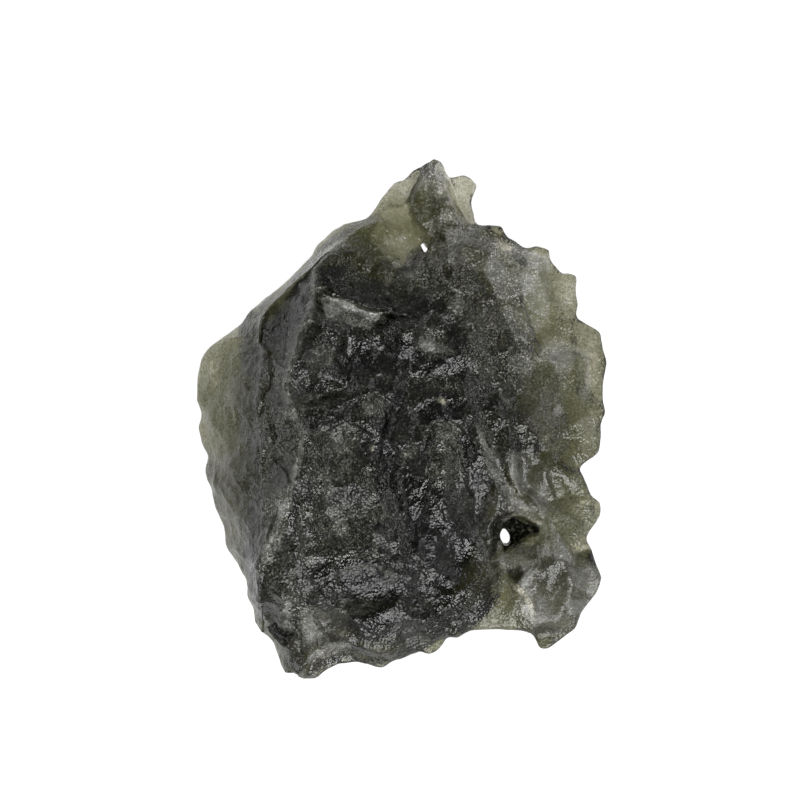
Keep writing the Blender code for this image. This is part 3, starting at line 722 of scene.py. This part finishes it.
modifier(
    "DISPLACE", "flakes", direction="Z", strength=-deepest, mid_level=0, vertex_group="flakes"
)
print("flakes up to", round(deepest / MM, 2), "mm deep")

# %% [markdown]
# Etching eats natural glass in scallops: small bowls that meet in sharp ridges. A Voronoi texture
# on squared distance is just that, a field of bowls with a ridge between each two, so Displace
# modifiers carry it into the mesh at falling sizes. A clouded texture first makes the surface
# uneven, so that no two scallops sit level. A vertex group holds the etching back on the rims, on
# the smooth places and on the break that the stone rests on.

# %% Etched scallops
THIN, THICK = 0.5 * MM, 3.0 * MM
LEAST_ETCH = 0.22
SMOOTH_SPARED = 0.6
BREAK_TOP, BREAK_CLEAR = 0.2 * MM, 1.0 * MM

etching = LEAST_ETCH + (1 - LEAST_ETCH) * ease(thick, THIN, THICK)
etching = etching * (1 - SMOOTH_SPARED * smooth) * ease(spots[:, 2], BREAK_TOP, BREAK_CLEAR)
hold_back("etching", etching)


def etch(name, kind, size, depth, level, **settings):
    """Push the skin out and in by a texture with grains of this size."""
    texture = bpy.data.textures.new(name, kind)
    texture.noise_scale = size
    for setting, value in settings.items():
        setattr(texture, setting, value)
    modifier(
        "DISPLACE",
        name,
        texture=texture,
        strength=depth,
        mid_level=level,
        texture_coords="LOCAL",
        vertex_group="etching",
    )


CLOUD_LEVEL, BOWL_LEVEL = 0.5, 0.35
bowls = {"distance_metric": "DISTANCE_SQUARED"}
etch("uneven", "CLOUDS", 1.1 * MM, 0.20 * MM, CLOUD_LEVEL, noise_depth=2)
etch("scallops", "VORONOI", 1.5 * MM, 0.18 * MM, BOWL_LEVEL, **bowls)
etch("small scallops", "VORONOI", 0.62 * MM, 0.13 * MM, BOWL_LEVEL, **bowls)
bpy.ops.object.shade_smooth()
print("etched in three sizes")

# %% [markdown]
# The marks go onto the skin as attributes, one number for each point, so that they stay where they
# are when the material reads them. An image would need the skin unwrapped first.

# %% Marks kept on the skin
# frost, chalk, cream and black also carry painted light, highlights, glints and shade
marks = {
    "smooth": smooth,
    "frost_and_painted_light": frost_and_painted_light,
    "ridge_wear_and_highlight": ridge_wear_and_highlight,
    "dust_and_glints": dust_and_glints,
    "dark_glass_and_painted_shade": dark_glass_and_painted_shade,
    "clear": clear,
    "dull": dull,
}
for name, values in marks.items():
    kept = stone.data.attributes.new(name, "FLOAT", "POINT")
    kept.data.foreach_set("value", values.astype(np.float32))
stone.vertex_groups.clear()
print("kept", len(stone.data.attributes), "attributes")

# %% [markdown]
# Glass is one shader for the surface and one for the inside. Inside, a plain Volume Absorption
# takes light away with distance, blue far more than red and green, so thin rims are a pale olive
# and the thick middle is nearly black. A green surface would make thick and thin places look alike.

# %% Natural glass
GLASS_IOR = 1.49
GREEN_PASS = (0.300, 0.305, 0.020, 1)
GLASS_DENSITY = 1130

glass = bpy.data.materials.new("natural glass")
glass.use_nodes = True
tree = glass.node_tree
surface = tree.nodes["Principled BSDF"]
surface.inputs["IOR"].default_value = GLASS_IOR
inside = tree.nodes.new("ShaderNodeVolumeAbsorption")
inside.inputs["Color"].default_value = GREEN_PASS
inside.inputs["Density"].default_value = GLASS_DENSITY
tree.links.new(inside.outputs["Volume"], tree.nodes["Material Output"].inputs["Volume"])
stone.data.materials.append(glass)
print("glass with IOR", GLASS_IOR)

# %% [markdown]
# The surface is a net of small nodes. Each helper here adds one kind of node and gives back its
# output, so that the net can be written in short lines. All noise is on the stone's own Object
# coordinates, which stay with it wherever it is moved.

# %% Helpers for the surface
position = tree.nodes.new("ShaderNodeTexCoord")


def noise_at(size, detail, roughness=0.6):
    """Noise on the stone's own coordinates, with lumps of that size in metres."""
    made = tree.nodes.new("ShaderNodeTexNoise")
    made.inputs["Scale"].default_value = 1 / size
    made.inputs["Detail"].default_value = detail
    made.inputs["Roughness"].default_value = roughness
    tree.links.new(position.outputs["Object"], made.inputs["Vector"])
    return made.outputs["Fac"]


def mark(name):
    """One of the marks kept on the skin."""
    made = tree.nodes.new("ShaderNodeAttribute")
    made.attribute_name = name
    return made.outputs["Fac"]


def spread(value, low, high, start, end):
    """Value from low to high, carried over to start to end."""
    made = tree.nodes.new("ShaderNodeMapRange")
    for name, number in zip(("From Min", "From Max", "To Min", "To Max"), (low, high, start, end)):
        made.inputs[name].default_value = number
    tree.links.new(value, made.inputs["Value"])
    return made.outputs["Result"]


def combine(kind, first, second):
    """Two values put together by a Math node of that kind. Each is a socket or a number."""
    made = tree.nodes.new("ShaderNodeMath")
    made.operation = kind
    for socket, value in zip(made.inputs, (first, second)):
        if isinstance(value, (int, float)):
            socket.default_value = value
        else:
            tree.links.new(value, socket)
    return made.outputs["Value"]


def coloured(share, under, over):
    """A colour over another, by share."""
    made = tree.nodes.new("ShaderNodeMix")
    made.data_type = "RGBA"
    tree.links.new(share, made.inputs["Factor"])
    for socket, value in ((made.inputs[6], under), (made.inputs[7], over)):
        if isinstance(value, tuple):
            socket.default_value = value
        else:
            tree.links.new(value, socket)
    return made.outputs[2]


print(len(tree.nodes), "nodes so far")

# %% [markdown]
# The skin's colour tints the light that passes, and it is what is seen where frost or dust scatters
# light. Fine dark flecks lie all over it. Strong frost is whiter, and so is the painted light that
# the frost mark holds, while dull places are darker. Chalk on the ridges with its painted highlights,
# dust with its painted glints, and black with its painted shade come last because they lie on top.
# Noise breaks the marks up, as a soft even edge would look painted.

# %% Colour of the skin
FROSTED = (0.46, 0.455, 0.37, 1)
FLECK = (0.13, 0.13, 0.09, 1)
CLEAR = (0.86, 0.84, 0.78, 1)
# white of heavy frost and of the painted light on lit facets
WHITE_OF_FROST_AND_LIGHT = (0.50, 0.50, 0.48, 1)
DULLED = (0.05, 0.05, 0.05, 1)
# grey of worn ridges and of the painted highlights along them
RIDGE_WEAR_AND_HIGHLIGHT = (0.50, 0.50, 0.47, 1)
# cream of clay dust, also used for two painted glints
CREAM_DUST_AND_GLINT = (0.62, 0.58, 0.42, 1)
# black for painted shade in hollows and for darker glass
BLACK_OF_SHADE_AND_DARK_GLASS = (0.004, 0.004, 0.004, 1)
GRAIN = 0.14 * MM
DULL_GRAIN = 0.12 * MM
HOLLOW_GRAIN = 0.25 * MM
DUST_GRAIN = 0.35 * MM
MOST_FLECKED = 0.80
MOST_WHITE_OF_FROST_AND_LIGHT = 0.9

flecks = spread(noise_at(GRAIN, 1), 0.42, 0.60, 0.0, MOST_FLECKED)
# whiter where the frost mark is strong, which includes its painted light
whitened_by_frost_and_light = spread(mark("frost_and_painted_light"), 0.7, 1.4, 0.0, MOST_WHITE_OF_FROST_AND_LIGHT)
dull_grain = spread(noise_at(DULL_GRAIN, 2, 0.8), 0.40, 0.60, 0.2, 1.0)
dulled = combine("MULTIPLY", mark("dull"), dull_grain)
dust_grain = spread(noise_at(DUST_GRAIN, 3, 0.7), 0.40, 0.62, 0.15, 1.0)
ridge_wear_and_highlight_share = combine("MULTIPLY", mark("ridge_wear_and_highlight"), dust_grain)
dust_and_glint_share = combine("MULTIPLY", mark("dust_and_glints"), dust_grain)
hollow_grain = spread(noise_at(HOLLOW_GRAIN, 3, 0.7), 0.34, 0.50, 0.8, 1.0)
shade_and_dark_glass_share = combine("MULTIPLY", mark("dark_glass_and_painted_shade"), hollow_grain)

colour = coloured(flecks, FROSTED, FLECK)
for share, over in (
    (mark("clear"), CLEAR),
    (whitened_by_frost_and_light, WHITE_OF_FROST_AND_LIGHT),
    (dulled, DULLED),
    (ridge_wear_and_highlight_share, RIDGE_WEAR_AND_HIGHLIGHT),
    (dust_and_glint_share, CREAM_DUST_AND_GLINT),
    (shade_and_dark_glass_share, BLACK_OF_SHADE_AND_DARK_GLASS),
):
    colour = coloured(share, colour, over)
tree.links.new(colour, surface.inputs["Base Color"])
print("colour in seven layers over the glass")

# %% [markdown]
# Frost is where the skin scatters light instead of passing it. Each Voronoi cell is one grain: its
# lot says how bright it is, and a few grains glint. Noise adds fine threads, and a larger noise
# gathers grains and threads in clouds, as one size of speck all over would look like sand. Where
# frost is strong, an even veil lies between the grains. The frost mark also holds painted light and
# shade, so this haze carries them too. What is left over is the share of light that passes.

# %% Frost and glints
THREAD = 0.10 * MM
CLOUD = 0.6 * MM
SPECK_SHARE, THREAD_SHARE = 0.7, 0.6
SMOOTH_LOSES, SMOOTH_KEEPS = 0.6, 0.16
GLINT = 0.30
FROST_AND_LIGHT_HAZE = 1.25
FROST_AND_LIGHT_VEIL = 0.30
RIDGE_WEAR_AND_HIGHLIGHT_HAZE, DUST_AND_GLINT_HAZE, DULL_HAZE = 0.34, 0.6, 0.8

grains = tree.nodes.new("ShaderNodeTexVoronoi")
grains.inputs["Scale"].default_value = 1 / GRAIN
tree.links.new(position.outputs["Object"], grains.inputs["Vector"])
lot = tree.nodes.new("ShaderNodeSeparateColor")
tree.links.new(grains.outputs["Color"], lot.inputs["Color"])
dots = spread(grains.outputs["Distance"], 0.1, 0.6, 1.0, 0.0)
specks = combine("MULTIPLY", dots, combine("POWER", lot.outputs["Red"], 2.0))
glints = combine("MULTIPLY", dots, spread(lot.outputs["Green"], 0.80, 0.95, 0.0, GLINT))
even = combine("MULTIPLY", mark("smooth"), SMOOTH_LOSES)
uneven = combine("SUBTRACT", 1.0, even)
specks = combine("ADD", combine("MULTIPLY", specks, uneven), combine("MULTIPLY", even, SMOOTH_KEEPS))
threads = combine("POWER", spread(noise_at(THREAD, 2, 0.8), 0.40, 0.75, 0.0, 1.0), 2.2)
specks = combine("MULTIPLY", specks, SPECK_SHARE)
specks = combine("ADD", specks, combine("MULTIPLY", threads, THREAD_SHARE))
specks = combine("MULTIPLY", specks, spread(noise_at(CLOUD, 4, 0.75), 0.36, 0.64, 0.35, 1.65))
# this haze also carries the painted light and shade of the frost mark
frost_and_light_haze = combine("MULTIPLY", combine("MULTIPLY", mark("frost_and_painted_light"), specks), FROST_AND_LIGHT_HAZE)
frost_and_light_haze = combine("ADD", frost_and_light_haze, spread(mark("frost_and_painted_light"), 0.75, MOST_FROST_AND_LIGHT, 0.0, FROST_AND_LIGHT_VEIL))
haze = combine("ADD", frost_and_light_haze, glints)
for share, strength in ((ridge_wear_and_highlight_share, RIDGE_WEAR_AND_HIGHLIGHT_HAZE), (dust_and_glint_share, DUST_AND_GLINT_HAZE), (dulled, DULL_HAZE)):
    haze = combine("ADD", haze, combine("MULTIPLY", share, strength))
haze = combine("MULTIPLY", haze, combine("SUBTRACT", 1.0, shade_and_dark_glass_share))
tree.links.new(combine("SUBTRACT", 1.0, haze), surface.inputs["Transmission Weight"])
print("frost in grains of", round(GRAIN / MM, 2), "mm")

# %% [markdown]
# The gloss changes a little from place to place. The black hollows, which are painted shade, are
# rough and metallic, because a black metal mirrors next to nothing, where glass would still show the
# lights. The last pits are too small for the mesh, so a Bump on a fine Voronoi texture stands for
# them, weaker on the smooth scars.

# %% Gloss, painted shade in hollows, and fine pits
GLOSS_SPAN = 2.5 * MM
GLOSSY, SATIN = 0.20, 0.34
PAINTED_SHADE_FROM = 0.6
PAINTED_SHADE_ROUGHNESS = 0.5
PAINTED_SHADE_METAL = 0.9
PIT = 0.20 * MM
PIT_DEPTH = 0.055 * MM
PITTED, HARDLY_PITTED = 0.75, 0.35

gloss = spread(noise_at(GLOSS_SPAN, 3), 0.35, 0.65, GLOSSY, SATIN)
# Rough black metal in the hollows is painted shade.
gloss = combine("ADD", gloss, spread(shade_and_dark_glass_share, PAINTED_SHADE_FROM, 1.0, 0.0, PAINTED_SHADE_ROUGHNESS))
tree.links.new(gloss, surface.inputs["Roughness"])
tree.links.new(spread(shade_and_dark_glass_share, PAINTED_SHADE_FROM, 1.0, 0.0, PAINTED_SHADE_METAL), surface.inputs["Metallic"])
pits = tree.nodes.new("ShaderNodeTexVoronoi")
pits.inputs["Scale"].default_value = 1 / PIT
tree.links.new(position.outputs["Object"], pits.inputs["Vector"])
bump = tree.nodes.new("ShaderNodeBump")
tree.links.new(spread(mark("smooth"), 0, 1, PITTED, HARDLY_PITTED), bump.inputs["Strength"])
bump.inputs["Distance"].default_value = PIT_DEPTH
tree.links.new(pits.outputs["Distance"], bump.inputs["Height"])
tree.links.new(bump.outputs["Normal"], surface.inputs["Normal"])
print(len(tree.nodes), "nodes in the glass")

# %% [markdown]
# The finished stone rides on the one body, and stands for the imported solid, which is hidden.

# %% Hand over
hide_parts("moldavite")
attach(stone, "root")
